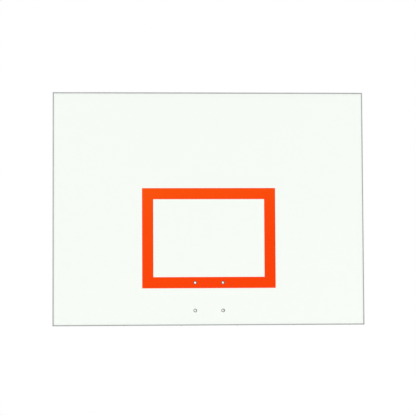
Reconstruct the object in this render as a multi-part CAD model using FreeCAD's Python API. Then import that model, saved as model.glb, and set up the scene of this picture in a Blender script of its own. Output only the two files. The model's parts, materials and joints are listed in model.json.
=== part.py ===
import FreeCAD
import Part

import math
import os

# A rectangular basketball backboard: a white sheet with an orange target, bonded to a welded frame of
# square tube and edged with thin metal angle. The rim bolts through four sleeved holes low on the board,
# and a support bolts to four angle lugs at the back.
#
# Millimetres. +X is to the right seen from the court, +Y points away from the court, +Z is up.
# The origin is the centre of the four lug holes, on the plane of the rear mounting faces.

# Board, measured over the edge trim
board_width = 1422.4
board_height = 1066.8

# Face sheet
sheet_thickness = 9.5
sheet_edge_clearance = 0.5

# Target marking, a cut film
target_width = 609.6
target_height = 457.2
target_band = 50.8
film_thickness = 0.25

# Edge trim, a thin metal angle
trim_thickness = 1.6
trim_lip_width = 4.8
trim_tube_overlap = 19.5
trim_bend_radius = 0.8
trim_mitre_gap = 0.3

# Frame tube, square with rounded corners
tube_side = 38.1
tube_wall = 1.9
tube_inside_radius = 1.9

# Weep holes in the underside of the bottom rail
weep_hole_diameter = 6.0
weep_hole_place_shares = (-0.3, 0.3)

# Foam tape between the sheet and the tubes
tape_thickness = 1.1
tape_width = 25.4

# Rim holes, their sleeves and the plate behind them
rim_hole_spacing = 127.0
rim_hole_diameter = 10.3
rim_rail_clearance = 25.4
rim_row_clearance = 28.3
rim_post_clearance = 25.4
sleeve_wall = 2.77
sleeve_clearance = 0.15
sleeve_chamfer = 0.5
rim_plate_lap = 25.4
rim_plate_corner_radius = 12.7

# Steel of the rim plate and the lugs, one thickness so that their rear faces are flush
plate_thickness = 6.35
plate_edge_break = 0.8

# Support lugs, lengths of steel angle
support_spacing_x = 889.0
support_spacing_z = 508.0
support_hole_diameter = 14.3
lug_length = 63.5
lug_hole_rise = 31.75
lug_hole_edge = 19.05
lug_foot_setback = 6.35
lug_root_radius = 6.0
lug_corner_radius = 9.5
lug_bolt_edge = 12.7

# Bolts, washers and blind threaded inserts that hold the lugs
bolt_diameter = 8.0
bolt_length = 20.0
bolt_head_flats = 13.0
bolt_head_height = 5.3
bolt_head_chamfer = 0.8
bolt_hole_clearance = 0.5
thread_clearance = 0.1
washer_width = 4.0
washer_thickness = 1.6
insert_wall = 1.5
insert_depth = 16.0
insert_bulge = 1.4
insert_bulge_depth = 4.5
insert_fit_clearance = 0.05

# Blind rivets that hold the trim
rivet_diameter = 4.8
rivet_hole_clearance = 0.1
rivet_head_diameter = 9.6
rivet_head_height = 1.2
rivet_head_round_share = 0.7
rivet_bulb_diameter = 6.8
rivet_bulb_length = 5.0
rivet_mandrel_diameter = 2.7
rivet_recess_depth = 0.7
rivet_pitch = 240.0
rivet_end_distance = 66.0

# How far a cutting solid runs past the face that it cuts
overrun = 5.0

half_tube = tube_side / 2

# Depths, from the rear mounting plane at zero towards the court
tube_rear_y = -plate_thickness
tube_front_y = tube_rear_y - tube_side
tube_mid_y = (tube_rear_y + tube_front_y) / 2
sheet_rear_y = tube_front_y - tape_thickness
sheet_front_y = sheet_rear_y - sheet_thickness
film_front_y = sheet_front_y - film_thickness
lip_front_y = sheet_front_y - trim_thickness
trim_rear_y = tube_front_y + trim_tube_overlap
rivet_y = (tube_front_y + trim_rear_y) / 2

# Heights, from the lug holes down to the board's bottom edge and up to its top edge
upper_lug_z = support_spacing_z / 2
lower_lug_z = -support_spacing_z / 2
upper_rail_z = upper_lug_z - lug_hole_rise - half_tube
lower_rail_z = lower_lug_z - lug_hole_rise - half_tube
upper_row_z = lower_rail_z - half_tube - rim_rail_clearance
lower_row_z = upper_row_z - rim_hole_spacing
bottom_rail_z = lower_row_z - rim_row_clearance - half_tube
board_bottom_z = bottom_rail_z - half_tube - trim_thickness
board_top_z = board_bottom_z + board_height
board_mid_z = (board_bottom_z + board_top_z) / 2
top_rail_z = board_top_z - trim_thickness - half_tube
target_bottom_z = upper_row_z - target_band / 2
target_top_z = target_bottom_z + target_height

# Places across the board
stile_inner_x = board_width / 2 - trim_thickness - tube_side
stile_x = stile_inner_x + half_tube
rim_hole_x = rim_hole_spacing / 2
upright_x = rim_hole_x + rim_post_clearance + half_tube
lug_x = support_spacing_x / 2
lug_bolt_reach = lug_length / 2 - lug_bolt_edge

sleeve_radius = rim_hole_diameter / 2 + sleeve_wall
sheet_hole_radius = sleeve_radius + sleeve_clearance
tube_outside_radius = tube_inside_radius + tube_wall
bolt_hole_radius = bolt_diameter / 2 + bolt_hole_clearance
insert_bore_radius = bolt_diameter / 2 + thread_clearance
insert_radius = insert_bore_radius + insert_wall

x_axis = FreeCAD.Vector(1, 0, 0)
y_axis = FreeCAD.Vector(0, 1, 0)
z_axis = FreeCAD.Vector(0, 0, 1)
origin = FreeCAD.Vector(0, 0, 0)
quarter_turn = 90
hexagon_sides = 6

# The four sides of the board: turn about Y from the top edge, length along the edge, reach from the middle
sides = {
    "top": (0, board_width, board_height / 2),
    "right": (quarter_turn, board_height, board_width / 2),
    "bottom": (2 * quarter_turn, board_width, board_height / 2),
    "left": (3 * quarter_turn, board_height, board_width / 2),
}


def point(x, y, z):
    return FreeCAD.Vector(x, y, z)


def block(x_span, y_span, z_span):
    """A box between the two values of each span."""
    low = point(min(x_span), min(y_span), min(z_span))
    high = point(max(x_span), max(y_span), max(z_span))
    size = high - low
    return Part.makeBox(size.x, size.y, size.z, low)


def rod_along_y(x, z, radius, y_span):
    """A cylinder along Y between the two values of y_span."""
    return Part.makeCylinder(radius, max(y_span) - min(y_span), point(x, min(y_span), z), y_axis)


def rod_along_z(x, y, radius, z_span):
    """A cylinder along Z between the two values of z_span."""
    return Part.makeCylinder(radius, max(z_span) - min(z_span), point(x, y, min(z_span)), z_axis)


def round_block(solid, radius, direction):
    """Rounds the four edges of a box that run along one direction."""
    chosen = []
    for edge in solid.Edges:
        if edge.tangentAt(edge.FirstParameter).cross(direction).Length == 0:
            chosen.append(edge)
    return solid.makeFillet(radius, chosen)


def break_rear_edges(plate):
    """Chamfers the outline of a plate's rear face, on the mounting plane."""
    outline = [edge for edge in plate.Edges if edge.BoundBox.YMin > -plate_thickness / 2]
    return plate.makeChamfer(plate_edge_break, outline)


def top_rim(rod):
    """The circle at the upper end of a cylinder that stands on zero."""
    return [edge for edge in rod.Edges if edge.isClosed() and edge.BoundBox.ZMin > 0]


def rim_places():
    """The four rim holes, as pairs of X and Z."""
    return [(x, z) for z in (upper_row_z, lower_row_z) for x in (-rim_hole_x, rim_hole_x)]


# Square tube


def square_bar(side, radius, length):
    """A solid square bar with rounded corners, standing on the origin along Z."""
    bar = Part.makeBox(side, side, length, point(-side / 2, -side / 2, 0))
    return round_block(bar, radius, z_axis)


def square_tube(length):
    """A hollow square tube standing on the origin along Z."""
    outside = square_bar(tube_side, tube_outside_radius, length)
    inside = square_bar(tube_side - 2 * tube_wall, tube_inside_radius, length)
    return outside.cut(inside)


def tube_across(x_span, z):
    """A tube along X, at the depth of the frame."""
    tube = square_tube(max(x_span) - min(x_span))
    tube.rotate(origin, y_axis, quarter_turn)
    tube.translate(point(min(x_span), tube_mid_y, z))
    return tube


def tube_upright(x, z_span):
    """A tube along Z, at the depth of the frame."""
    tube = square_tube(max(z_span) - min(z_span))
    tube.translate(point(x, tube_mid_y, min(z_span)))
    return tube


# Pieces that run along one side of the board. Each is drawn along X, with Z pointing out of the board's
# edge and zero at the edge, and is then turned onto its side.


def turn_onto(side, shape):
    turn, _, reach = sides[side]
    shape.translate(point(0, 0, reach))
    shape.rotate(origin, y_axis, turn)
    shape.translate(point(0, 0, board_mid_z))
    return shape


def mitre_prism(length, depth, gap):
    """What a piece may fill between two mitres at 45 degrees that start at the board's corners."""
    outer_x = length / 2 + overrun - gap / 2
    inner_x = length / 2 - depth - overrun - gap / 2
    front_y = lip_front_y - overrun
    outline = [
        point(-outer_x, front_y, overrun),
        point(outer_x, front_y, overrun),
        point(inner_x, front_y, -depth - overrun),
        point(-inner_x, front_y, -depth - overrun),
        point(-outer_x, front_y, overrun),
    ]
    return Part.Face(Part.makePolygon(outline)).extrude(y_axis * (overrun - front_y))


def rivet_places(length):
    """Evenly spaced places along one side, near the stated pitch."""
    first = -length / 2 + rivet_end_distance
    steps = max(1, round((length - 2 * rivet_end_distance) / rivet_pitch))
    pitch = (length - 2 * rivet_end_distance) / steps
    return [first + step * pitch for step in range(steps + 1)]


def drill_for_rivets(bar, length):
    """Drills the rivet holes of one side through a piece that runs along it."""
    radius = rivet_diameter / 2 + rivet_hole_clearance
    bottom = -trim_thickness - half_tube
    drills = [rod_along_z(x, rivet_y, radius, (bottom, overrun)) for x in rivet_places(length)]
    return bar.cut(drills)


def frame_bar(side):
    """One mitred tube of the perimeter frame."""
    _, length, _ = sides[side]
    bar = tube_across((-length / 2, length / 2), -trim_thickness - half_tube)
    bar = bar.common(mitre_prism(length, trim_thickness + tube_side, 0))
    return turn_onto(side, drill_for_rivets(bar, length))


def frame_bottom_rail():
    """The bottom tube, with weep holes in its underside behind the trim."""
    rail = frame_bar("bottom")
    y = (trim_rear_y + tube_rear_y) / 2
    z_span = (board_bottom_z - overrun, bottom_rail_z)
    drills = []
    for share in weep_hole_place_shares:
        drills.append(rod_along_z(share * board_width, y, weep_hole_diameter / 2, z_span))
    return rail.cut(drills)


def edge_trim(side):
    """One mitred length of edge angle: a narrow lip over the face and a leg along the edge."""
    _, length, _ = sides[side]
    start_x = -length / 2
    bend_y = lip_front_y + trim_bend_radius
    bend_half = trim_bend_radius * math.sqrt(1 / 2)
    corners = {
        "leg_end": point(start_x, trim_rear_y, 0),
        "bend_start": point(start_x, bend_y, 0),
        "bend_middle": point(start_x, bend_y - bend_half, bend_half - trim_bend_radius),
        "bend_end": point(start_x, lip_front_y, -trim_bend_radius),
        "lip_front": point(start_x, lip_front_y, -trim_lip_width),
        "lip_back": point(start_x, sheet_front_y, -trim_lip_width),
        "inside": point(start_x, sheet_front_y, -trim_thickness),
        "leg_inside": point(start_x, trim_rear_y, -trim_thickness),
    }
    straight = ["bend_end", "lip_front", "lip_back", "inside", "leg_inside", "leg_end", "bend_start"]
    edges = [Part.LineSegment(corners[a], corners[b]).toShape() for a, b in zip(straight, straight[1:])]
    bend = Part.Arc(corners["bend_start"], corners["bend_middle"], corners["bend_end"])
    profile = Part.Face(Part.Wire(edges + [bend.toShape()]))
    bar = profile.extrude(x_axis * length)
    bar = bar.common(mitre_prism(length, trim_lip_width, trim_mitre_gap))
    return turn_onto(side, drill_for_rivets(bar, length))


def rivet():
    """A blind rivet along Z: a low head above zero, hollow where its mandrel broke off, and a shank below
    that ends in a set bulb inside the tube."""
    head = Part.makeCylinder(rivet_head_diameter / 2, rivet_head_height)
    head = head.makeFillet(rivet_head_height * rivet_head_round_share, top_rim(head))
    grip = trim_thickness + tube_wall
    shank = rod_along_z(0, 0, rivet_diameter / 2, (-grip, 0))
    bulb = rod_along_z(0, 0, rivet_bulb_diameter / 2, (-grip - rivet_bulb_length, -grip))
    recess_span = (rivet_head_height - rivet_recess_depth, rivet_head_height + overrun)
    recess = rod_along_z(0, 0, rivet_mandrel_diameter / 2, recess_span)
    return head.fuse([shank, bulb]).removeSplitter().cut(recess)


def trim_rivets():
    """All rivets of the four sides."""
    rivets = []
    for side, (_, length, _) in sides.items():
        for x in rivet_places(length):
            one = rivet()
            one.translate(point(x, rivet_y, 0))
            rivets.append(turn_onto(side, one))
    return Part.makeCompound(rivets)


# Face


def face_sheet():
    """The white sheet, inside the trim, with a hole for each sleeve."""
    inset = trim_thickness + sheet_edge_clearance
    half_width = board_width / 2 - inset
    y_span = (sheet_front_y, sheet_rear_y)
    sheet = block((-half_width, half_width), y_span, (board_bottom_z + inset, board_top_z - inset))
    drill_span = (sheet_front_y - overrun, sheet_rear_y + overrun)
    return sheet.cut([rod_along_y(x, z, sheet_hole_radius, drill_span) for x, z in rim_places()])


def target_marking():
    """The target rectangle, with the upper rim holes through its lower band."""
    half_width = target_width / 2
    y_span = (film_front_y, sheet_front_y)
    cut_span = (film_front_y - overrun, sheet_front_y + overrun)
    film = block((-half_width, half_width), y_span, (target_bottom_z, target_top_z))
    inner_half = half_width - target_band
    window_span = (target_bottom_z + target_band, target_top_z - target_band)
    window = block((-inner_half, inner_half), cut_span, window_span)
    drills = [rod_along_y(x, upper_row_z, sheet_hole_radius, cut_span) for x in (-rim_hole_x, rim_hole_x)]
    return film.cut([window] + drills)


def bonding_tape():
    """A strip of foam tape down the middle of the front of each tube."""
    y_span = (sheet_rear_y, tube_front_y)
    half = tape_width / 2
    strips = []
    for z in (top_rail_z, upper_rail_z, lower_rail_z, bottom_rail_z):
        strips.append(block((-stile_inner_x, stile_inner_x), y_span, (z - half, z + half)))
    for x in (-stile_x, stile_x):
        strips.append(block((x - half, x + half), y_span, (bottom_rail_z, top_rail_z)))
    for z_span in upright_spans():
        for x in (-upright_x, upright_x):
            strips.append(block((x - half, x + half), y_span, z_span))
    return Part.makeCompound(strips)


# Inner frame


def upright_spans():
    """The heights of the three bays between the rails: rim posts, middle uprights, top uprights."""
    return [
        (bottom_rail_z + half_tube, lower_rail_z - half_tube),
        (lower_rail_z + half_tube, upper_rail_z - half_tube),
        (upper_rail_z + half_tube, top_rail_z - half_tube),
    ]


def cross_rail(z):
    """A tube from stile to stile, with a hole in its top wall for each lug insert."""
    rail = tube_across((-stile_inner_x, stile_inner_x), z)
    z_span = (z, z + half_tube + overrun)
    radius = insert_radius + insert_fit_clearance
    return rail.cut([rod_along_z(x, tube_mid_y, radius, z_span) for x in lug_bolt_places()])


# Rim mount


def rim_plate():
    """The plate welded across the rails and posts behind the rim holes."""
    half_width = upright_x + half_tube
    z_span = (bottom_rail_z + half_tube - rim_plate_lap, lower_rail_z - half_tube + rim_plate_lap)
    plate = block((-half_width, half_width), (tube_rear_y, 0), z_span)
    plate = break_rear_edges(round_block(plate, rim_plate_corner_radius, y_axis))
    drill_span = (tube_rear_y - overrun, overrun)
    return plate.cut([rod_along_y(x, z, rim_hole_diameter / 2, drill_span) for x, z in rim_places()])


def rim_sleeve(x, z):
    """A spacer sleeve from the front of the sheet to the rim plate."""
    length = tube_rear_y - sheet_front_y
    sleeve = Part.makeCylinder(sleeve_radius, length)
    sleeve = sleeve.makeChamfer(sleeve_chamfer, [edge for edge in sleeve.Edges if edge.isClosed()])
    sleeve = sleeve.cut(Part.makeCylinder(rim_hole_diameter / 2, length))
    sleeve.rotate(origin, x_axis, -quarter_turn)
    sleeve.translate(point(x, sheet_front_y, z))
    return sleeve


def rim_sleeves():
    return Part.makeCompound([rim_sleeve(x, z) for x, z in rim_places()])


# Support lugs


def lug_bolt_places():
    """Where along X the lug bolts enter a cross rail."""
    return [x + reach for x in (-lug_x, lug_x) for reach in (-lug_bolt_reach, lug_bolt_reach)]


def lug(x, rail_z):
    """A steel angle on a cross rail: its foot is bolted down, and its upright leg takes the support."""
    start_x = x - lug_length / 2
    foot_z = rail_z + half_tube
    foot_front_y = tube_front_y + lug_foot_setback
    foot_top_z = foot_z + plate_thickness
    leg_top_z = foot_z + lug_hole_rise + lug_hole_edge
    root_y = tube_rear_y - lug_root_radius
    root_z = foot_top_z + lug_root_radius
    root_half = lug_root_radius * math.sqrt(1 / 2)
    outline = [
        point(start_x, root_y, foot_top_z),
        point(start_x, foot_front_y, foot_top_z),
        point(start_x, foot_front_y, foot_z),
        point(start_x, 0, foot_z),
        point(start_x, 0, leg_top_z),
        point(start_x, tube_rear_y, leg_top_z),
        point(start_x, tube_rear_y, root_z),
    ]
    edges = [Part.LineSegment(a, b).toShape() for a, b in zip(outline, outline[1:])]
    root = Part.Arc(outline[-1], point(start_x, root_y + root_half, root_z - root_half), outline[0])
    angle = Part.Face(Part.Wire(edges + [root.toShape()])).extrude(x_axis * lug_length)
    below_z = foot_z - 2 * lug_corner_radius
    rounded_top = block((start_x, start_x + lug_length), (foot_front_y, 0), (below_z, leg_top_z))
    angle = break_rear_edges(angle.common(round_block(rounded_top, lug_corner_radius, y_axis)))
    hole_span = (tube_rear_y - overrun, overrun)
    drills = [rod_along_y(x, foot_z + lug_hole_rise, support_hole_diameter / 2, hole_span)]
    foot_span = (foot_z - overrun, foot_top_z + overrun)
    for reach in (-lug_bolt_reach, lug_bolt_reach):
        drills.append(rod_along_z(x + reach, tube_mid_y, bolt_hole_radius, foot_span))
    return angle.cut(drills)


def hex_bolt():
    """A hexagon bolt along Z, with the underside of its head at zero and its shank below."""
    corner_radius = bolt_head_flats / 2 / math.cos(math.pi / hexagon_sides)
    corners = []
    for corner in range(hexagon_sides + 1):
        turn = corner * 2 * math.pi / hexagon_sides
        corners.append(point(corner_radius * math.cos(turn), corner_radius * math.sin(turn), 0))
    head = Part.Face(Part.makePolygon(corners)).extrude(z_axis * bolt_head_height)
    crown = Part.makeCylinder(corner_radius, bolt_head_height)
    head = head.common(crown.makeChamfer(bolt_head_chamfer, top_rim(crown)))
    return head.fuse(rod_along_z(0, 0, bolt_diameter / 2, (-bolt_length, 0)))


def washer():
    """A flat washer standing on zero."""
    ring = Part.makeCylinder(bolt_hole_radius + washer_width, washer_thickness)
    return ring.cut(Part.makeCylinder(bolt_hole_radius, washer_thickness))


def threaded_insert():
    """A blind threaded insert, flush with zero, set with a bulge under the tube's wall."""
    body = rod_along_z(0, 0, insert_radius, (-insert_depth, 0))
    bulge_top = -tube_wall
    bulge = rod_along_z(0, 0, insert_radius + insert_bulge, (bulge_top - insert_bulge_depth, bulge_top))
    bore = rod_along_z(0, 0, insert_bore_radius, (-insert_depth - overrun, overrun))
    return body.fuse(bulge).cut(bore)


def at_lug_bolts(make, rise):
    """A copy of one fastener at each lug bolt, raised above the top of its rail."""
    copies = []
    for rail_z in (upper_rail_z, lower_rail_z):
        for x in lug_bolt_places():
            copy = make()
            copy.translate(point(x, tube_mid_y, rail_z + half_tube + rise))
            copies.append(copy)
    return Part.makeCompound(copies)


def parts():
    """Every node of the board, by name."""
    posts, middle, top = upright_spans()
    made = {
        "face_sheet": face_sheet(),
        "target_marking": target_marking(),
        "bonding_tape": bonding_tape(),
        "trim_rivets": trim_rivets(),
        "frame_top_rail": frame_bar("top"),
        "frame_bottom_rail": frame_bottom_rail(),
        "frame_left_stile": frame_bar("left"),
        "frame_right_stile": frame_bar("right"),
        "upper_cross_rail": cross_rail(upper_rail_z),
        "lower_cross_rail": cross_rail(lower_rail_z),
        "rim_plate": rim_plate(),
        "rim_sleeves": rim_sleeves(),
        "lug_bolts": at_lug_bolts(hex_bolt, plate_thickness + washer_thickness),
        "lug_washers": at_lug_bolts(washer, plate_thickness),
        "lug_inserts": at_lug_bolts(threaded_insert, 0),
    }
    for side in sides:
        made["edge_trim_" + side] = edge_trim(side)
    for hand, sign in (("left", -1), ("right", 1)):
        made["rim_post_" + hand] = tube_upright(sign * upright_x, posts)
        made["mid_upright_" + hand] = tube_upright(sign * upright_x, middle)
        made["top_upright_" + hand] = tube_upright(sign * upright_x, top)
        made["lug_upper_" + hand] = lug(sign * lug_x, upper_rail_z)
        made["lug_lower_" + hand] = lug(sign * lug_x, lower_rail_z)
    return made


os.makedirs("parts", exist_ok=True)
for name, shape in parts().items():
    shape.exportStep("parts/" + name + ".step")
    solids = shape.Solids
    print(name, len(solids), "solids", round(sum(solid.Volume for solid in solids)), "mm3", shape.isValid())
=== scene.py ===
import json
import math

import bpy
import numpy as np
from mathutils import Euler, Matrix, Vector


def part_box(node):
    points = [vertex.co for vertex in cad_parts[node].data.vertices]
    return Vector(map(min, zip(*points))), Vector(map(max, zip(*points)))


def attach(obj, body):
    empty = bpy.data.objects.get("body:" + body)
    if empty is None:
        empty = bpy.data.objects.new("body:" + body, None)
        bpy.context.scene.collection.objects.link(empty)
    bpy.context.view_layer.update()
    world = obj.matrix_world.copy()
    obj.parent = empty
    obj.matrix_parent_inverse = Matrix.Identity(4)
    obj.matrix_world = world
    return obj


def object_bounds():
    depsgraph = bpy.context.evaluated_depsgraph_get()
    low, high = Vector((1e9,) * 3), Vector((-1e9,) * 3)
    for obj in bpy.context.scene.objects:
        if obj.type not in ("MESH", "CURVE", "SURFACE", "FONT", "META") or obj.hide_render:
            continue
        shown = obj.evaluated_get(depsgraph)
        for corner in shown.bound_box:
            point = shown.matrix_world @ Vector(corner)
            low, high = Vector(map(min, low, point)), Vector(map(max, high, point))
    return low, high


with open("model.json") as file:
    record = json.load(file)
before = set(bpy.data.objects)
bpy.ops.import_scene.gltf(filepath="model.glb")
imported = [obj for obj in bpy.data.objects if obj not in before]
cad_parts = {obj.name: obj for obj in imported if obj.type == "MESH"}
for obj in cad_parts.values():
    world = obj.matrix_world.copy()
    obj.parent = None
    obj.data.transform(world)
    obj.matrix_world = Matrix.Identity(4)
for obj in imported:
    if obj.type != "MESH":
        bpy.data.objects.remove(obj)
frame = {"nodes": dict(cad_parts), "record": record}  # bodies, nodes, joints and record
nodes = frame["nodes"]
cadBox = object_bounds()
print("frame loaded:", len(nodes), "nodes")

noiseMean = 0.5  # a noise swings about this
diagonal = math.sqrt(0.5)  # sine and cosine of 45 degrees


def span(name):
    low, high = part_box(name)
    return np.array(low), np.array(high)


def colour(red, green, blue):
    return (red, green, blue, 1.0)


# A value in a node tree: maths on it adds Math nodes, so 1 - mask works
class Wire:
    def __init__(self, recipe, socket):
        self.recipe = recipe
        self.socket = socket

    def maths(self, operation, first, second):
        return self.recipe.node("Math", {0: first, 1: second}, operation=operation)

    def __add__(self, other):
        return self.maths("ADD", self, other)

    def __sub__(self, other):
        return self.maths("SUBTRACT", self, other)

    def __rsub__(self, other):
        return self.maths("SUBTRACT", other, self)

    def __mul__(self, other):
        return self.maths("MULTIPLY", self, other)

    __radd__ = __add__
    __rmul__ = __mul__

    # held between 0 and 1
    def clipped(self):
        return self.recipe.node("Clamp", {"Value": self})

    # 0 up to a start, then rising evenly to 1 a length further on
    def ramp(self, start, length):
        return ((self - start) * (1.0 / length)).clipped()

    # how far a noise strays from its mean, times an amount
    def swing(self, amount):
        return (self - noiseMean) * amount


# The node tree of one finish, of the floor or of the world
class Recipe:
    def __init__(self, owner):
        owner.use_nodes = True
        self.tree = owner.node_tree
        self.tree.nodes.clear()

    # any node: its type, values or links for its sockets, the output wanted, and its settings
    def node(self, kind, sockets=None, out=0, **settings):
        made = self.tree.nodes.new("ShaderNode" + kind)
        for name, value in settings.items():
            setattr(made, name, value)
        for name, value in (sockets or {}).items():
            if isinstance(value, Wire):
                self.tree.links.new(value.socket, made.inputs[name])
            else:
                made.inputs[name].default_value = value
        return Wire(self, made.outputs[out]) if made.outputs else None

    def place(self):
        return self.node("TexCoord", out="Object")

    def along(self, axis):
        return self.node("SeparateXYZ", {0: self.place()}, out=axis)

    # coordinates counted in features of the given size, from a shifted origin and after a turn about Y
    def features(self, size, turn=0.0, shift=(0.0, 0.0, 0.0)):
        sockets = {
            "Vector": self.place(),
            "Location": shift,
            "Rotation": (0.0, math.radians(turn), 0.0),
            "Scale": tuple(np.broadcast_to(size, 3))}
        return self.node("Mapping", sockets, vector_type="TEXTURE")

    def noise(self, vector, detail=2.0):
        return self.node("TexNoise", {"Vector": vector, "Scale": 1.0, "Detail": detail}, out="Fac")

    # a Mix node keeps its two colours in sockets 6 and 7 and gives the mixed one at output 2
    def blend(self, factor, first, second):
        return self.node("Mix", {0: factor, 6: first, 7: second}, out=2, data_type="RGBA")

    def bump(self, height, depth):
        return self.node("Bump", {"Height": height, "Distance": depth})

    # 1 where the camera sees it, straight, in metal or through glass, and 0 where it only lights
    def seen(self):
        rays = ("Is Camera Ray", "Is Glossy Ray", "Is Transmission Ray")
        straight, glossy, through = (self.node("LightPath", out=ray) for ray in rays)
        return (straight + glossy + through).clipped()

    def surface(self, sockets):
        shader = self.node("BsdfPrincipled", sockets)
        self.node("OutputMaterial", {"Surface": shader})


def newFinish(name):
    finish = bpy.data.materials.new(name)
    return finish, Recipe(finish)


def coat(finish, *names):
    for name in names:
        for slot in nodes[name].material_slots:
            slot.material = finish


# Face sheet: white gel coat on the court side, satin laminate with glass strands at the back
gelCoatLook = dict(
    white=colour(0.893, 0.936, 0.884),
    cloud=colour(0.883, 0.927, 0.875),
    cloudSize=0.35,
    peelSize=0.006,  # the slight waves of a sprayed coat
    peelDepth=0.00004,
    gloss=0.24,
    glossSwing=0.08,
    back=colour(0.760, 0.785, 0.735),
    strand=colour(0.850, 0.870, 0.825),
    strandSize=(0.045, 1.0, 0.0026),  # length, through, width
    strandTurns=(8.0, 37.0, 71.0, 103.0, 128.0, 163.0),
    strandFrom=0.59,  # where the noise is above this, there is a strand
    strandEdge=0.111,  # and this much higher it is full
    strandShare=0.8,
    strandDepth=0.0001,
    backGloss=0.55,
    changeover=0.0005)  # depth over which the front's finish gives way to the back's


def gelCoat():
    look = gelCoatLook
    finish, recipe = newFinish("white_gel_coat")
    low, high = span("face_sheet")
    atBack = recipe.along("Y").ramp((low[1] + high[1]) / 2, look["changeover"])
    cloud = recipe.noise(recipe.features(look["cloudSize"]), detail=3.0)
    peel = recipe.noise(recipe.features(look["peelSize"]), detail=1.0)
    gaps = 1.0  # what the strands leave open, all directions together
    for turn in look["strandTurns"]:
        weave = recipe.noise(recipe.features(look["strandSize"], turn), detail=1.0)
        gaps = gaps * (1.0 - weave.ramp(look["strandFrom"], look["strandEdge"]))
    strands = 1.0 - gaps
    front = recipe.blend(cloud, look["white"], look["cloud"])
    back = recipe.blend(strands * look["strandShare"], look["back"], look["strand"])
    frontHeight = peel * (1.0 - atBack) * (look["peelDepth"] / look["strandDepth"])
    dulled = atBack * (look["backGloss"] - look["gloss"])
    recipe.surface({
        "Base Color": recipe.blend(atBack, front, back),
        "Roughness": look["gloss"] + cloud.swing(look["glossSwing"]) + dulled,
        "Normal": recipe.bump(frontHeight + strands * atBack, look["strandDepth"])})
    return finish


# Target: orange film, sun-faded a little along its top and most in the upper left corner
targetLook = dict(
    deep=colour(0.930, 0.052, 0.0024),
    faded=colour(0.922, 0.083, 0.0034),
    topFade=0.56,
    sideFade=0.20,
    cornerFade=0.24,
    patchSize=0.12,
    patchFade=0.35,
    grainSize=0.0016,
    grainDepth=0.00002,
    gloss=0.48,
    glossSwing=0.15,
    shine=0.02)


def targetFilm():
    look = targetLook
    finish, recipe = newFinish("orange_film")
    low, high = span("target_marking")
    leftShare = 1.0 - recipe.along("X").ramp(low[0], high[0] - low[0])
    upShare = recipe.along("Z").ramp(low[2], high[2] - low[2])
    patch = recipe.noise(recipe.features(look["patchSize"]), detail=3.0)
    grain = recipe.noise(recipe.features(look["grainSize"]))
    sunned = upShare * upShare * upShare * look["topFade"]
    sunned = sunned + leftShare * (look["sideFade"] + upShare * look["cornerFade"])
    fade = (sunned + patch.swing(look["patchFade"])).clipped()
    recipe.surface({
        "Base Color": recipe.blend(fade, look["deep"], look["faded"]),
        "Roughness": look["gloss"] + patch.swing(look["glossSwing"]),
        "Specular IOR Level": look["shine"],
        "Normal": recipe.bump(grain, look["grainDepth"])})
    return finish


# Edge trim: mill-finish aluminium, drawn along its length
trimLook = dict(
    light=colour(0.370, 0.375, 0.382),
    dark=colour(0.265, 0.270, 0.276),
    middle=0.5,
    drawLength=0.18,
    drawWidth=0.0008,
    lineSwing=1.4,
    lineGloss=0.1,
    lineDepth=0.00002,
    stainSize=0.06,
    stainSwing=0.9,
    stainGloss=-0.25,  # duller where it is darker
    metal=0.6,
    gloss=0.36)


def drawnTrim(name, axis):
    look = trimLook
    finish, recipe = newFinish(name)
    size = [look["drawWidth"]] * 3
    size[axis] = look["drawLength"]
    lines = recipe.noise(recipe.features(size), detail=3.0)
    stain = recipe.noise(recipe.features(look["stainSize"]), detail=4.0)
    shade = (lines.swing(look["lineSwing"]) + stain.swing(look["stainSwing"]) + look["middle"]).clipped()
    recipe.surface({
        "Base Color": recipe.blend(shade, look["dark"], look["light"]),
        "Metallic": look["metal"],
        "Roughness": look["gloss"] + stain.swing(look["stainGloss"]) + lines.swing(look["lineGloss"]),
        "Normal": recipe.bump(lines, look["lineDepth"])})
    return finish


# Frame: hot-dip zinc with its crystals, duller where it has weathered
zincLook = dict(
    light=colour(0.480, 0.494, 0.505),
    dark=colour(0.262, 0.273, 0.286),
    chalk=colour(0.395, 0.404, 0.404),
    crystalSize=0.014,
    facetSize=0.0042,
    waver=0.35,  # how far the edges of the crystals stray
    waverRate=1.7,  # how often they do, for each crystal
    leanAxis=(1.0, 1.0, 1.0),  # each crystal's streaks are turned about this
    feather=(1.3, 11.0, 11.0),  # how fine the streaks are, along and across
    base=0.09,
    crystalShare=0.62,
    facetShare=0.2,
    featherShare=0.7,
    facetDepth=0.00006,
    bloomSize=0.16,
    bloomFrom=0.48,  # where the noise is above this, the zinc has weathered
    bloomEdge=0.286,  # and this much higher it is fully so
    bloomChalk=0.55,
    bloomMetal=-0.3,
    bloomGloss=0.12,
    tiltGloss=0.22,
    metal=0.62,
    gloss=0.42,
    shifts={  # so that no crystal runs on from one length of steel to the next
        "galvanised_rails": (0.0, 0.0, 0.0),
        "galvanised_uprights": (0.37, 0.11, 0.53),
        "galvanised_plates": (0.71, 0.29, 0.17)})


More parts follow.
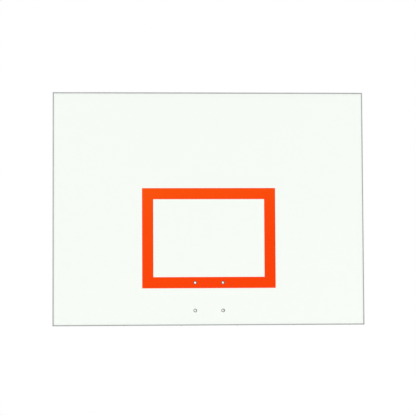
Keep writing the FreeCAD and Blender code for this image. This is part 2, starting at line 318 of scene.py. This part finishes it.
def galvanised(name):
    look = zincLook
    finish, recipe = newFinish(name)
    shift = look["shifts"][name]
    here = recipe.features(look["crystalSize"], shift=shift)
    drift = recipe.node("TexNoise", {"Vector": here, "Scale": look["waverRate"]}, out="Color")
    drifting = {0: drift, 1: (look["waver"],) * 3, 2: here}
    pushed = recipe.node("VectorMath", drifting, operation="MULTIPLY_ADD")
    crystals = recipe.node("TexVoronoi", {"Vector": pushed, "Scale": 1.0}, out="Color")
    finer = look["crystalSize"] / look["facetSize"]
    facets = recipe.node("TexVoronoi", {"Vector": pushed, "Scale": finer}, out="Color")
    bright, tilt, lean = (recipe.node("SeparateColor", {0: crystals}, out=part) for part in range(3))
    small = recipe.node("SeparateColor", {0: facets}, out=2)
    leaning = {"Vector": pushed, "Axis": look["leanAxis"], "Angle": lean * (2.0 * math.pi)}
    turned = recipe.node("VectorRotate", leaning, rotation_type="AXIS_ANGLE")
    drawn = recipe.node("VectorMath", {0: turned, 1: look["feather"]}, operation="MULTIPLY")
    feather = recipe.noise(drawn)
    bloom = recipe.noise(recipe.features(look["bloomSize"], shift=shift), detail=5.0)
    weathered = bloom.ramp(look["bloomFrom"], look["bloomEdge"])
    shade = bright * look["crystalShare"] + small * look["facetShare"] + feather.swing(look["featherShare"])
    shade = (shade + look["base"]).clipped()
    zinc = recipe.blend(shade, look["dark"], look["light"])
    recipe.surface({
        "Base Color": recipe.blend(weathered * look["bloomChalk"], zinc, look["chalk"]),
        "Metallic": look["metal"] + weathered * look["bloomMetal"],
        "Roughness": look["gloss"] + tilt.swing(look["tiltGloss"]) + weathered * look["bloomGloss"],
        "Normal": recipe.bump(shade, look["facetDepth"])})
    return finish


# Weld beads: the same zinc, too thin a film there for large crystals
beadLook = dict(
    light=colour(0.455, 0.466, 0.476),
    dark=colour(0.285, 0.295, 0.305),
    middle=0.5,
    speckSize=0.003,
    speckSwing=2.0,
    speckDepth=0.0002,
    metal=0.55,
    gloss=0.4,
    glossSwing=0.3)

# Rivets: bright aluminium with small handling marks
rivetLook = dict(
    light=colour(0.680, 0.685, 0.690),
    dark=colour(0.460, 0.465, 0.470),
    middle=0.6,
    speckSize=0.0025,
    speckSwing=2.0,
    speckDepth=0.00005,
    metal=1.0,
    gloss=0.32,
    glossSwing=0.3)


def speckledMetal(name, look):
    finish, recipe = newFinish(name)
    speck = recipe.noise(recipe.features(look["speckSize"]), detail=4.0)
    shade = (speck.swing(look["speckSwing"]) + look["middle"]).clipped()
    recipe.surface({
        "Base Color": recipe.blend(shade, look["dark"], look["light"]),
        "Metallic": look["metal"],
        "Roughness": look["gloss"] + speck.swing(look["glossSwing"]),
        "Normal": recipe.bump(speck, look["speckDepth"])})
    return finish


# Bolts, washers and inserts: bright zinc plate
platedLook = dict(
    light=colour(0.600, 0.615, 0.630),
    dark=colour(0.380, 0.390, 0.400),
    middle=0.55,
    smudgeSize=0.007,
    smudgeSwing=1.6,
    smudgeGloss=-0.3,  # duller where it is darker
    lineSize=(0.02, 0.0006, 0.02),
    lineSwing=0.6,
    lineDepth=0.00002,
    metal=1.0,
    gloss=0.3)


def platedSteel():
    look = platedLook
    finish, recipe = newFinish("zinc_plate")
    smudge = recipe.noise(recipe.features(look["smudgeSize"]), detail=4.0)
    lines = recipe.noise(recipe.features(look["lineSize"]), detail=1.0)
    shade = (smudge.swing(look["smudgeSwing"]) + lines.swing(look["lineSwing"]) + look["middle"]).clipped()
    recipe.surface({
        "Base Color": recipe.blend(shade, look["dark"], look["light"]),
        "Metallic": look["metal"],
        "Roughness": look["gloss"] + smudge.swing(look["smudgeGloss"]),
        "Normal": recipe.bump(lines, look["lineDepth"])})
    return finish


# Rim sleeves: drawn steel tube, bright in the bore, with painted shade at the end that faces the court: that
# end is coloured dark to stand in for the shade inside the rim holes
sleeveLook = dict(
    light=colour(0.380, 0.383, 0.387),
    dark=colour(0.270, 0.273, 0.277),
    # the next two colours are painted shade, not weathering: the dark ring at the court-side end of each hole
    weathered=colour(0.062, 0.062, 0.064),
    paintedShadeDarkest=colour(0.036, 0.036, 0.038),
    middle=0.5,
    endDepth=0.0010,  # how far in the painted shade reaches
    endFade=0.0008,
    markSize=(0.0009, 0.012, 0.0009),
    markSwing=1.8,
    markGloss=0.2,
    markDepth=0.00003,
    gloss=0.22,
    endGloss=0.65,
    shine=0.3)


def sleeveSteel():
    look = sleeveLook
    finish, recipe = newFinish("sleeve_steel")
    frontEnd = span("rim_sleeves")[0][1]
    inside = recipe.along("Y").ramp(frontEnd + look["endDepth"], look["endFade"])
    marks = recipe.noise(recipe.features(look["markSize"]), detail=3.0)
    shade = (marks.swing(look["markSwing"]) + look["middle"]).clipped()
    # painted shade at the court-side end of each sleeve, in place of the shade inside the hole
    end = recipe.blend(shade, look["paintedShadeDarkest"], look["weathered"])
    bore = recipe.blend(shade, look["dark"], look["light"])
    gloss = look["endGloss"] + inside * (look["gloss"] - look["endGloss"])
    recipe.surface({
        "Base Color": recipe.blend(inside, end, bore),
        "Metallic": inside,
        "Roughness": gloss + marks.swing(look["markGloss"]),
        "Specular IOR Level": look["shine"],
        "Normal": recipe.bump(marks, look["markDepth"])})
    return finish


# Bonding tape: black closed-cell foam
foamLook = dict(
    skin=colour(0.022, 0.022, 0.024),
    cell=colour(0.055, 0.055, 0.057),
    cellSize=0.0009,
    cellGloss=-0.1,
    cellDepth=0.0002,
    gloss=0.85)


def blackFoam():
    look = foamLook
    finish, recipe = newFinish("black_foam")
    here = recipe.features(look["cellSize"])
    cells = recipe.node("TexVoronoi", {"Vector": here, "Scale": 1.0}, out="Distance")
    recipe.surface({
        "Base Color": recipe.blend(cells.clipped(), look["cell"], look["skin"]),
        "Roughness": look["gloss"] + cells * look["cellGloss"],
        "Normal": recipe.bump(cells, look["cellDepth"])})
    return finish


coat(gelCoat(), "face_sheet")
coat(targetFilm(), "target_marking")
coat(drawnTrim("trim_drawn_across", 0), "edge_trim_top", "edge_trim_bottom")
coat(drawnTrim("trim_drawn_upright", 2), "edge_trim_left", "edge_trim_right")
coat(blackFoam(), "bonding_tape")
coat(speckledMetal("rivet_aluminium", rivetLook), "trim_rivets")
coat(sleeveSteel(), "rim_sleeves")
coat(platedSteel(), "lug_bolts", "lug_washers", "lug_inserts")
steelNames = [part["node"] for part in frame["record"]["subparts"] if part["material_slot"] == "frame_steel"]
plateNames = [name for name in steelNames if "plate" in name or "lug" in name]
railNames = [name for name in steelNames if "rail" in name]
coat(galvanised("galvanised_plates"), *plateNames)
coat(galvanised("galvanised_rails"), *railNames)
coat(galvanised("galvanised_uprights"), *[name for name in steelNames if name not in plateNames + railNames])
beadFinish = speckledMetal("zinc_over_weld", beadLook)
print("finishes:", len(bpy.data.materials))

# Weld beads along the joints of the frame
weldLook = dict(
    leg=0.0042,  # how far a fillet reaches along each face
    fullness=0.0007,  # how much a fillet swells past flat
    rise=0.0015,  # how proud a cap stands on a flat face
    grip=0.0032,  # how far it laps onto that face
    cornerRise=0.0012,  # how much fuller a bead is halfway from fillet to cap
    toe=0.0003,  # how deep its edges are sunk, so no gap shows
    root=0.0012,  # how deep its hidden underside lies
    ripple=0.0023,  # length of one ripple
    rippleShare=0.32,
    rippleCurve=0.55,  # how far its middle is held back, in ripples
    waver=((410.0, 57.0, 0.06), (873.0, 131.0, 0.036)),  # rate along the bead, rate by place, share
    taper=0.005,
    endShare=0.12,  # how thick it is at its very ends
    mitreStop=0.0027,  # how far from the outer edge a corner's bead starts
    hollowFill=0.0019,  # how far it is pushed out in the inner corner
    tubeCorner=0.0038,  # radius of the tubes' rounded edges
    step=0.0005,
    columns=9)


# A bead's surface is a section carried along a route: rings along it, columns over it from edge to edge.
# At grade 0 the section is a fillet, a slant from face to face. At grade 1 it is a cap, which lies on a flat
# face or over a groove and may be lifted. In between it is a mix, fuller by 4 g (1 - g), which is 1 halfway.
# The crown is half a sine over the section, times a rectified sine of the distance travelled, which is held
# back in the middle and so makes curved ripples. Three sunk points close the section below the faces.
def beadSurface(spots, outward, deep, grade, groove, lift=0.0):
    look = weldLook
    leg, grip, toe, root = look["leg"], look["grip"], look["toe"], look["root"]
    rings = len(spots)
    grade = grade[:, None]
    lift = np.broadcast_to(lift, rings)[:, None]
    paces = np.linalg.norm(np.diff(spots, axis=0), axis=1)
    travel = np.concatenate([[0.0], np.cumsum(paces)])[:, None]
    over = np.linspace(0.0, 1.0, look["columns"])[None, :]
    crown = np.sin(np.pi * over)
    waves = np.abs(np.sin(np.pi * (travel / look["ripple"] - look["rippleCurve"] * crown)))
    swell = crown * (1.0 - look["rippleShare"] + look["rippleShare"] * waves)
    bulge = look["fullness"] * diagonal * swell

    filletOut = np.hstack([leg * (1.0 - over) + bulge - toe, np.tile([-root, -root, leg - toe], (rings, 1))])
    filletDeep = np.hstack([toe - leg * over - bulge, np.tile([-leg, root, root], (rings, 1))])
    sunkEdge, sunkMiddle = lift - root / 2, np.full((rings, 1), -root)
    capOut = np.hstack([look["rise"] * swell - toe + lift, sunkEdge, sunkMiddle, sunkEdge])
    capAcross = groove + grip - over[0] * (groove + 2.0 * grip)
    capDeep = np.concatenate([capAcross, [-grip, groove / 2, groove + grip]])

    fromEnd = np.minimum(travel, travel[-1] - travel) / look["taper"]
    size = look["endShare"] + (1.0 - look["endShare"]) * np.sin(np.clip(fromEnd, 0.0, 1.0) * np.pi / 2)
    uneven = 1.0  # as laid by hand, and otherwise at each place
    for rate, placeRate, share in look["waver"]:
        uneven = uneven + share * np.sin(travel * rate + spots[0].sum() * placeRate)
    fuller = look["cornerRise"] * 4.0 * grade * (1.0 - grade) * np.hstack([crown, np.zeros((1, 3))])
    out = (filletOut + grade * (capOut - filletOut) + fuller) * size * uneven
    into = (filletDeep + grade * (capDeep - filletDeep)) * size * uneven
    return spots[:, None, :] + out[:, :, None] * outward[:, None, :] + into[:, :, None] * deep


# Several beads as one mesh: rings joined by quads, both ends closed, and all turned to look out,
# by the sign of the volume between the bead's middle and its quads
def beadPiece(name, beads):
    points, faces, start = [], [], 0
    for grid in beads:
        rings, columns, _ = grid.shape
        index = np.arange(rings * columns).reshape(rings, columns)
        ahead = np.roll(index, -1, axis=1)
        quads = np.stack([index[:-1], index[1:], ahead[1:], ahead[:-1]], axis=-1).reshape(-1, 4)
        bead = grid.reshape(-1, 3)
        first, second, third, fourth = np.moveaxis(bead[quads] - bead.mean(axis=0), 1, 0)
        volume = (first * (np.cross(second, third) + np.cross(third, fourth))).sum()
        turn = 1 if volume > 0 else -1
        faces += (start + quads[:, ::turn]).tolist()
        faces += [(start + cap[::turn]).tolist() for cap in (index[0], index[-1][::-1])]
        points.append(bead)
        start += len(bead)
    mesh = bpy.data.meshes.new(name)
    mesh.from_pydata(np.vstack(points).tolist(), [], faces)
    mesh.polygons.foreach_set("use_smooth", np.ones(len(faces), bool))
    mesh.materials.append(beadFinish)
    mesh.update()
    piece = bpy.data.objects.new(name, mesh)
    bpy.context.scene.collection.objects.link(piece)
    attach(piece, "root")
    print(name + ":", len(beads), "beads,", len(faces), "faces")


# Evenly spaced values about one step apart, from the first up to the last, which is left out
def paced(first, last):
    return np.linspace(first, last, round(abs(last - first) / weldLook["step"]), endpoint=False)


# Sines and cosines of the quarter turn over a tube's rounded edge, about one step apart
def quarterTurn():
    arc = weldLook["tubeCorner"] * np.pi / 2
    angle = np.linspace(0.0, np.pi / 2, round(arc / weldLook["step"]))
    return np.sin(angle), np.cos(angle)


# A straight run from one point to another, with the same faces all along
def straightBead(first, last, outward, deep, grade=0.0, groove=0.0):
    first, last = np.array(first, float), np.array(last, float)
    count = round(np.linalg.norm(last - first) / weldLook["step"])
    spots = first + np.linspace(0.0, 1.0, count)[:, None] * (last - first)
    outward = np.tile(np.array(outward, float), (count, 1))
    return beadSurface(spots, outward, np.array(deep, float), np.full(count, grade), groove)


# Round three sides of a tube's end: along one side, over the rounded edge, across the rear and down again.
# The bead is a fillet beside the tube and a cap where both rear faces are flush.
def tubeEndBead(name, axis, end):
    low, high = span(name)
    corner, across = weldLook["tubeCorner"], 2 - axis
    half = (high[across] - low[across]) / 2
    side = paced(low[1] + corner, high[1] - corner)
    flat = paced(corner - half, half - corner)[1:]
    sine, cosine = quarterTurn()
    beside, level = np.zeros_like(side), np.zeros_like(flat)

    # each stretch: its places across and to the rear, where its face looks across and to the rear, its grade
    up = [beside - half, side, beside - 1.0, beside, beside]
    bend = [corner * (1.0 - cosine) - half, high[1] - corner * (1.0 - sine), -cosine, sine, sine ** 2]
    rear = [flat, level + high[1], level, level + 1.0, level + 1.0]
    there = np.hstack([up, bend])
    andBack = there[:, ::-1] * np.array([-1.0, 1.0, -1.0, 1.0, 1.0])[:, None]
    acrossAt, rearAt, acrossFace, rearFace, grade = np.hstack([there, rear, andBack])

    spots, outward, deep = np.zeros((grade.size, 3)), np.zeros((grade.size, 3)), np.zeros(3)
    spots[:, across] = (high[across] + low[across]) / 2 + acrossAt
    spots[:, 1] = rearAt
    spots[:, axis] = high[axis] if end > 0 else low[axis]
    outward[:, across] = acrossFace
    outward[:, 1] = rearFace
    deep[axis] = end
    return beadSurface(spots, outward, deep, grade, corner)


# At a corner of the frame: in along the mitre at the rear, over the rounded edges and down the inner corner.
# The bead is a cap all the way, and is pushed out where its bed turns from flat to a hollow of 90 degrees.
def cornerBead(sideX, sideZ):
    corner = weldLook["tubeCorner"]
    low, high = span("upper_cross_rail")
    bottom, top = span("frame_bottom_rail"), span("frame_top_rail")
    inner, outer = (top[0][2], top[1][2]) if sideZ > 0 else (bottom[1][2], bottom[0][2])
    start = abs(outer - inner) - weldLook["mitreStop"]
    mitre = paced(start / diagonal, corner / diagonal) * diagonal  # paced along the slant
    side = paced(high[1] - corner, low[1] + corner)[1:]
    sine, cosine = quarterTurn()
    level, beside = np.zeros_like(mitre), np.zeros_like(side)

    # each stretch: how far out from the inner corner, its place to the rear, where its face looks, how hollow
    along = [mitre, level + high[1], level, level + 1.0, level]
    over = [corner * (1.0 - sine), high[1] - corner * (1.0 - cosine), diagonal * sine, cosine, sine ** 2]
    down = [beside, side, beside + 1.0, beside, beside + 1.0]
    outBy, rearAt, inFace, rearFace, hollow = np.hstack([along, over, down])

    spots = np.stack([sideX * (high[0] + outBy), rearAt, inner + sideZ * outBy], axis=1)
    outward = np.stack([-sideX * diagonal * inFace, rearFace, -sideZ * diagonal * inFace], axis=1)
    outward = outward / np.linalg.norm(outward, axis=1, keepdims=True)
    deep = np.array([sideX * diagonal, 0.0, -sideZ * diagonal])
    return beadSurface(spots, outward, deep, np.ones(len(spots)), 0.0, weldLook["hollowFill"] * hollow)


crossNames = ("upper_cross_rail", "lower_cross_rail")
uprightNames = [bay + hand for bay in ("mid_upright_", "top_upright_") for hand in ("left", "right")]
beadPiece("welds_cross_rails", [tubeEndBead(name, 0, end) for name in crossNames for end in (-1, 1)])
beadPiece("welds_uprights", [tubeEndBead(name, 2, end) for name in uprightNames for end in (-1, 1)])
beadPiece("welds_frame_corners", [cornerBead(sideX, sideZ) for sideX in (-1, 1) for sideZ in (-1, 1)])

# Rim plate: stitches along its edges, and fillets beside the posts under it
plateStitch = dict(
    length=0.045,
    acrossShares=(-0.62, 0.0, 0.62),
    upShares=(-0.52, 0.0, 0.52))


# Straight stitches: fillets between the plate's upper and lower edges and the rails, and caps at its sides,
# over the groove that the posts' rounded edges leave
def plateBeads():
    low, high = span("rim_plate")
    postLow, postHigh = span("rim_post_right")
    half, corner = plateStitch["length"] / 2, weldLook["tubeCorner"]
    forwards = (0, -1, 0)
    beads = []
    for share in plateStitch["acrossShares"]:
        x = share * high[0]
        for z, up in ((low[2], -1), (high[2], 1)):
            first, last = (x - half, low[1], z), (x + half, low[1], z)
            beads.append(straightBead(first, last, (0, 0, up), forwards))
    for share in plateStitch["upShares"]:
        z = (postLow[2] + postHigh[2]) / 2 + share * (postHigh[2] - postLow[2]) / 2
        for x, hand in ((low[0], -1), (high[0], 1)):
            first, last = (x, low[1], z - half), (x, low[1], z + half)
            beads.append(straightBead(first, last, (hand, 0, 0), forwards, grade=1.0, groove=corner))
    return beads


# A fillet in each angle between a post's side and the rails above and below it
def postBeads():
    corner = weldLook["tubeCorner"]
    beads = []
    for name in ("rim_post_left", "rim_post_right"):
        low, high = span(name)
        for x, hand in ((low[0], -1), (high[0], 1)):
            for z, up in ((low[2], -1), (high[2], 1)):
                first, last = (x, low[1] + corner, z), (x, high[1] - corner, z)
                beads.append(straightBead(first, last, (hand, 0, 0), (0, 0, up)))
    return beads


beadPiece("welds_rim_plate", plateBeads() + postBeads())

# Floor: the court, as far below the board as the game sets it
floorLook = dict(
    drop=2.9,  # from the board's bottom edge
    half=9.0,
    pale=colour(0.80, 0.80, 0.80),
    glow=colour(1.0, 1.0, 1.0),
    lift=0.30)  # brings the floor up to the white of the surround where it is seen


def courtFloor():
    look = floorLook
    half, level = look["half"], cadBox[0][2] - look["drop"]
    corners = [(-half, -half, level), (half, -half, level), (half, half, level), (-half, half, level)]
    mesh = bpy.data.meshes.new("floor")
    mesh.from_pydata(corners, [], [(0, 1, 2, 3)])
    finish, recipe = newFinish("pale_floor")
    matt = recipe.node("BsdfDiffuse", {"Color": look["pale"]})
    glow = recipe.node("Emission", {"Color": look["glow"], "Strength": look["lift"]})
    lifted = recipe.node("AddShader", {0: matt, 1: glow})
    shown = recipe.node("MixShader", {0: recipe.seen(), 1: matt, 2: lifted})
    below = recipe.node("NewGeometry", out="Backfacing")  # a view from under the floor looks through it
    oneSided = recipe.node("MixShader", {0: below, 1: shown, 2: recipe.node("BsdfTransparent")})
    recipe.node("OutputMaterial", {"Surface": oneSided})
    mesh.materials.append(finish)
    floor = bpy.data.objects.new("floor", mesh)
    bpy.context.scene.collection.objects.link(floor)
    print("floor:", look["drop"], "m below the board")


courtFloor()

# Studio light: an even white surround and a few broad lamps
studioLook = dict(
    white=colour(1.0, 1.0, 1.0),
    surround=0.50,
    backdrop=1.0,  # the surround as it is seen, also in metal
    lamps=dict(  # where the light goes, its level on a surface that faces it, its spread in degrees
        courtKey=((0.50, 0.75, -0.55), 0.40, 70.0),
        courtFill=((-0.60, 0.75, -0.15), 0.152, 60.0),
        rearKey=((-0.50, -0.60, -0.75), 0.52, 112.0),
        rearFill=((0.65, -0.70, -0.10), 0.12, 60.0)))


def studio():
    look = studioLook
    world = bpy.data.worlds.new("studio")
    bpy.context.scene.world = world
    recipe = Recipe(world)
    lit = recipe.node("Background", {"Color": look["white"], "Strength": look["surround"]})
    plain = recipe.node("Background", {"Color": look["white"], "Strength": look["backdrop"]})
    mixed = recipe.node("MixShader", {0: recipe.seen(), 1: lit, 2: plain})
    recipe.node("OutputWorld", {"Surface": mixed})
    for name, (direction, level, spread) in look["lamps"].items():
        lamp = bpy.data.lights.new(name, "SUN")
        lamp.energy = level * math.pi
        lamp.angle = math.radians(spread)
        holder = bpy.data.objects.new(name, lamp)
        holder.rotation_euler = Vector(direction).to_track_quat("-Z", "Y").to_euler()
        bpy.context.scene.collection.objects.link(holder)
    print("light:", len(look["lamps"]), "lamps")


studio()

# Camera: almost square on, a little to the left of the board's middle and below it
cameraLook = dict(
    spot=(-0.3817, -7.0567, -0.4085),
    turn=3.092,  # degrees to the right
    tilt=3.263,  # degrees up
    roll=-0.272,
    lens=132.932,
    sensor=36.0)


def camera():
    look = cameraLook
    data = bpy.data.cameras.new("camera")
    data.lens = look["lens"]
    data.sensor_width = look["sensor"]
    holder = bpy.data.objects.new("camera", data)
    aim = Euler((math.radians(90.0 + look["tilt"]), 0.0, math.radians(-look["turn"]))).to_matrix()
    holder.rotation_euler = (aim @ Matrix.Rotation(math.radians(look["roll"]), 3, "Z")).to_euler()
    holder.location = look["spot"]
    bpy.context.scene.collection.objects.link(holder)
    bpy.context.scene.camera = holder
    print("camera:", look["lens"], "mm lens at", look["spot"])


camera()
bpy.context.scene.view_settings.view_transform = "Standard"
